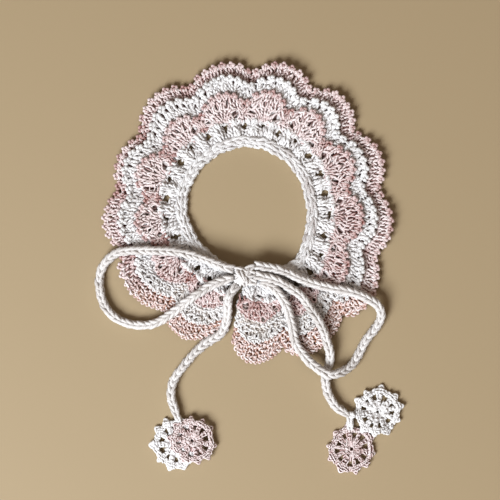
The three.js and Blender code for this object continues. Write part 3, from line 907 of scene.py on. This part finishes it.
# %% State the flowers and how they lie
FLOWERS = {
    "left_white_flower": dict(x=-70.8, y=-232.5, turn=3, scale=1.05, on=None),
    "left_pink_flower": dict(x=-54.4, y=-228.5, turn=27, scale=0.96, on="left_white_flower"),
    "right_white_flower": dict(x=130.2, y=-199.8, turn=10, scale=1, on="right_pink_flower"),
    "right_pink_flower": dict(x=103.9, y=-237.4, turn=27, scale=1, on=None),
}
PETALS, FLOWER_WALL, FLOWER_TIP = 10, 2.4, 26.0  # mm thick, and mm from the middle to a point


def draped(paths, flower, uneven):
    """A flower's strands where they lie: uneven, domed, turned, moved, and over the flower below."""
    turn = math.radians(flower["turn"])
    angle = np.arctan2(paths[..., 1], paths[..., 0])
    radius = np.hypot(paths[..., 0], paths[..., 1]) * flower["scale"]
    radius = radius * (1 + 0.03 * np.sin(2 * angle + uneven[0]) + 0.03 * np.sin(5 * angle + uneven[1]))
    angle = angle + 0.07 * np.sin(3 * angle + uneven[2]) + 0.03 * np.sin(7 * angle + uneven[3])
    x, y = radius * np.cos(angle), radius * np.sin(angle)
    dome = 1.7 * (1 - (np.hypot(x, y) / FLOWER_TIP) ** 2)
    laid = np.stack([
        x * math.cos(turn) - y * math.sin(turn) + flower["x"],
        x * math.sin(turn) + y * math.cos(turn) + flower["y"],
        paths[..., 2] + dome + 0.5 * (1 + np.sin(3 * angle + uneven[1])),
    ], -1)
    if flower["on"]:
        lower = FLOWERS[flower["on"]]
        away = np.hypot(laid[..., 0] - lower["x"], laid[..., 1] - lower["y"])
        beyond = away - FLOWER_TIP * lower["scale"]
        laid[..., 2] += (FLOWER_WALL + 0.8) * (1 - smooth((beyond - 6) / 12))
    return laid


# %% Draw one flower's strands
def scallop(degrees):
    """The rim's radius: widest at each spoke."""
    return 21.2 + 0.7 * np.cos(np.radians(degrees) * PETALS)


def flower_strands():
    """The strands of one flower about its own middle, as batches with their thickness."""
    batches = []

    def add(radius, degrees, high, thick):
        radius, angle, high = np.broadcast_arrays(radius, np.radians(degrees), high)
        paths = np.stack([radius * np.cos(angle), radius * np.sin(angle), high], -1)
        batches.append((paths.reshape(-1, *paths.shape[-2:]), thick))

    def twist(radius, middle, aside, turns, wide, high, thick):
        """Two strands wound round each other, beside each middle line."""
        for half in (0, math.pi):
            angle = half + math.pi * turns * t + rng.uniform(-0.8, 0.8, (len(middle), 1))
            degrees = middle + np.degrees((aside + wide * np.cos(angle)) / radius)
            add(radius, degrees, high + 0.45 * np.sin(angle), thick)

    ring = np.linspace(0, 360, 41)
    add(2.6 + 0.3 * np.sin(np.radians(ring) * 10), ring, 1.5, 1.15)
    add(5.0, ring, 1.0, 1.3)
    spoke = (np.arange(PETALS) * 360 / PETALS)[:, None]
    t = np.linspace(0, 1, 13)
    radius = 3.2 + 14.2 * t
    add(radius, spoke, 0.9, 1.5)
    for aside in (-1, 1):
        twist(radius, spoke, aside * (0.6 + 1.2 * t), 4, 0.42, 1.5, 0.82)
    t = np.linspace(0, 1, 5)
    add(3.4 + 8.4 * t, spoke + 180 / PETALS, 1.3, np.linspace(0.8, 1.35, 5))
    around = np.linspace(0, 360, PETALS * 5 * 4 + 1)
    for half in (0, math.pi):
        wave = np.radians(around) * PETALS * 2.5 + half
        hop = 1.5 + 0.5 * np.sin(2 * wave)
        add(18.1 + 0.75 * np.cos(wave), around, hop, 1.0)
        add(scallop(around) + 0.75 * np.cos(wave), around, hop, 0.95)
    between = ((np.arange(PETALS * 5) + 0.5) * 360 / (PETALS * 5))[:, None]
    twist(17.6 + (scallop(between) - 17.2) * t, between, 0, 1.2, 0.75, 1.3, 0.9)
    knobs = np.concatenate([spoke + shift for shift in (-8.5, -2.5, 4, 10)])
    t = np.linspace(-1, 1, 5)
    for radius, centres in (
        (8.2, spoke), (12.0, spoke + 2), (15.6, spoke - 2), (19.6, knobs), (21.8, knobs + 3),
    ):
        tilt = rng.uniform(-0.9, 0.9, centres.shape)
        shift = rng.uniform(-1.5, 1.5, centres.shape)
        degrees = centres + shift + np.degrees(1.35 * t / radius)
        add(radius + tilt * t, degrees, 2.5 + 0.5 * (1 - t**2), 0.95)
    t = np.linspace(-1, 1, 9)
    for size in (1.0, 0.35):
        radius = 21.4 + (FLOWER_TIP - 22.3) * size * (1 - np.abs(t) ** 1.5)
        add(radius, spoke + np.degrees(2.9 * size * t / radius), 1.5 + 0.3 * np.cos(3 * t), 1.15)
    return batches


# %% Crochet the flowers
def stem(end, flower):
    """The line of the chain that goes on from a tail's end to the flower's rim."""
    away = end[:2] - [flower["x"], flower["y"]]
    away = 20.5 * flower["scale"] * away / np.linalg.norm(away)
    lower = 0 if flower["on"] is None else FLOWER_WALL
    rim = np.array([flower["x"] + away[0], flower["y"] + away[1], 2.6 + lower])
    over = 0.5 * (end + rim) + [0, 0, 0.8]
    return through([end + [0, 1.5, 0], over, rim], 0.3)


for name, flower in FLOWERS.items():
    made = Stitches()
    is_white = "white" in name
    uneven = rng.uniform(0, 2 * math.pi, 4)
    for paths, radius in flower_strands():
        loose = 0.3 * scatter((len(paths), 1, 3))
        laid = draped(paths + loose, flower, uneven)
        if is_white:
            made.lay(laid, 1.2 * np.asarray(radius), dull_and_shade=-0.4)
        else:
            # a darker, lower copy of the pink strands fills the gaps with painted shade
            made.lay(laid - [0, 0, 0.5], radius, sides=4, dull_and_shade=0.6)
            made.lay(laid + [0, 0, 0.3], 0.78 * np.asarray(radius))
    if is_white:
        end = cords[name.split("_")[0] + "_tail"][1][-1] / MM
        for other in (name, name.replace("white", "pink")):
            line = stem(end, FLOWERS[other])
            made.lay(links(line, pitch=4.2, scale=0.8), 1.5, sides=6, taper=0.6)
            made.lay(line[::5], 1.7, sides=6, dull_and_shade=0.2)  # its core
    material, deep = (white_yarn, 0.45) if is_white else (pink_yarn, 1.1)
    made.piece(name + "_stitches", material, deep)

for name in ("left_tail", "right_tail"):
    piece, line = cords[name]
    print(name, round(length_of(line) * 1000), "mm")

# %% [markdown]
# ## The knot
# The bow's knot is the same cord wrapped over itself: one turn across the middle, and the ends of the
# loops and tails that go into it. Each stretch has its own short line, in millimetres from the middle.

# %% Tie the knot
KNOT = np.array([-3.3, -64.0, 17.2])
WRAPS = [
    [(-4.5, 6.5, -3), (-4.2, 3.5, 2.2), (-2.2, -0.5, 3.2), (0.2, -5, 2), (1.2, -8, -2)],
    [(-9, 4.8, -1.2), (-4.5, 5.2, 0.4), (0.5, 3.6, 1.6), (5, 1.8, 0.6), (9.8, 1.6, -1)],
    [(-9.5, -2.2, 0), (-5, -2, -0.6), (0, -3.2, -1.6), (5, -5.4, -1.2), (11.5, -7, -1.8)],
    [(-6.2, -8, -2.6), (-3.5, -3.4, 0.2), (0.6, 1.8, 1.2), (5, 6.8, 0.4), (10, 9.6, -0.4)],
]
knot = Stitches()
for wrap in WRAPS:
    line = through(KNOT + wrap, 0.6)
    knot.lay(links(line, scale=0.92), 1.55, sides=6, taper=0.6)
    knot.lay(line[::6], 1.9, sides=6)
knot.piece("bow_knot_stitches", cord_yarn, deep=0.5)

# %% [markdown]
# ## The folds
# The foot of a ruffle and the bottom of a crease lie in shade, and here that shade is painted into the
# yarn's colour. A map of the collar's height tells where: it holds the highest yarn in each small square,
# blurred over a few millimetres, and yarn below that height gets painted shade as a hollow does.

# %% Map the heights
SQUARE = 1.5  # mm across a square of the map
FOLDED = [neck_piece, row_piece, top, middle, lowest]


def read_points(made):
    flat = np.empty(len(made.data.vertices) * 3)
    made.data.vertices.foreach_get("co", flat)
    return flat.reshape(-1, 3) / MM


def square_of(points):
    return tuple(((points[:, :2] - corner) / SQUARE).astype(int).T)


all_points = np.concatenate([read_points(made) for made in FOLDED])
corner = all_points[:, :2].min(0) - 12
squares = square_of(all_points)
heights = np.zeros(np.max(squares, axis=1) + 9)
np.maximum.at(heights, squares, all_points[:, 2])
for axis in (0, 1) * 8:
    heights = (np.roll(heights, 1, axis) + heights + np.roll(heights, -1, axis)) / 3
print("a map of", heights.shape, "squares")

# %% [markdown]
# The top ruffle's creases are too narrow for the map, so `CREASE_SHADE` paints more shade into them. The
# front gets painted shade for the bow's shadow, the right for being turned from the light, and the yarn seen
# through an opening is painted dark as a hollow. At the front, `loose` tints the lower ruffles' painted
# shade with the floor's colour, as if the floor showed through.

# %% Paint shade into the folds and the openings
CREASE_SHADE = {5: 0.35, 6: 0.35, 7: 0.35, 8: 0.12, 9: 0.12, 10: 0.12, 11: 0.3, 12: 0.35}
CREASE_FROM, CREASE_WIDE = 38, 7  # mm out and mm to each side
for made in FOLDED:
    points = read_points(made)
    x, y, z = points.T
    # fold: painted shade from the height map
    fold = np.clip((heights[square_of(points)] - z - 0.3) / (7 if made is lowest else 10), 0, 0.85)
    hollow_shade = np.empty(len(points))
    made.data.attributes["hollow_shade"].data.foreach_get("value", hollow_shade)
    hollow_shade *= 0.78 + 0.4 * fold
    if made is top:
        hollow_shade *= 1 + 0.4 * np.maximum(smooth((-40 - y) / 20), smooth((x - 50) / 50))
        for s, shade in CREASE_SHADE.items():
            crease = place(s, np.linspace(CREASE_FROM, reach(TIERS["top_tier"], s) + 2, 12), 0)
            away = np.linalg.norm(points[:, None, :2] - crease[None, :, :2], axis=2).min(1)
            hollow_shade += shade * (1 - smooth(away / CREASE_WIDE))
    if made is lowest:
        hollow_shade *= 1 + 0.5 * smooth((-70 - y) / 20)
    hollow_shade = 1 - (1 - np.clip(hollow_shade, 0, 1)) * (1 - fold)
    if made in (middle, lowest):
        for hole_x, hole_y, size in holes if made is middle else holes + small_holes:
            away = np.hypot(x - hole_x, y - hole_y)
            hollow_shade = np.maximum(hollow_shade, 1 - smooth(away / size - 0.4))
        give(made.data, "loose", smooth((-62 - y) / 25))
    give(made.data, "hollow_shade", hollow_shade)
    print(made.name, "in folds:", round(float(fold.mean()), 2))

# %% [markdown]
# ## Floor and light
# The floor is plain and pale, a shade darker than the white yarn so that the cord stands out. One broad
# soft light stands rather low at the front left and draws the stitches' shadows to the back right. The rest
# is dim and warm, so the shade between the strands stays deep.

# %% Set the floor and the light
HALF, BELOW = 3.0, -0.0002  # half the floor's width, and its height just under the collar
floor_mesh = bpy.data.meshes.new("floor")
floor_mesh.from_pydata(
    [(x, y, BELOW) for x, y in ((-HALF, -HALF), (HALF, -HALF), (HALF, HALF), (-HALF, HALF))],
    [], [(0, 1, 2, 3)],
)
floor = in_scene("floor", floor_mesh)
floor_finish = bpy.data.materials.new("pale_floor")
floor_finish.use_nodes = True
shown = floor_finish.node_tree.nodes["Principled BSDF"].inputs
shown["Base Color"].default_value, shown["Roughness"].default_value = (0.40, 0.32, 0.205, 1), 0.6
floor_mesh.materials.append(floor_finish)


def soft_light(name, place_at, size, power, colour):
    lamp = bpy.data.lights.new(name, "AREA")
    lamp.size, lamp.energy, lamp.color = size, power, colour
    made = in_scene(name, lamp)
    made.location = place_at
    toward = Vector((0, -0.03, 0)) - Vector(place_at)
    made.rotation_euler = toward.to_track_quat("-Z", "Y").to_euler()
    print(name, power, "W")


soft_light("main_light", (-1.75, -2.05, 2.45), 1.9, 166, (0.965, 0.985, 1.0))
soft_light("fill_light", (0.6, 0.7, 1.8), 1.6, 4, (1.0, 0.88, 0.76))
world = bpy.data.worlds.new("studio")
world.use_nodes = True
sky = world.node_tree.nodes["Background"].inputs
sky["Color"].default_value, sky["Strength"].default_value = (1.0, 0.77, 0.6, 1), 0.17
bpy.context.scene.world = world
bpy.context.scene.view_settings.view_transform = "Standard"
bpy.context.scene.view_settings.look = "Medium High Contrast"
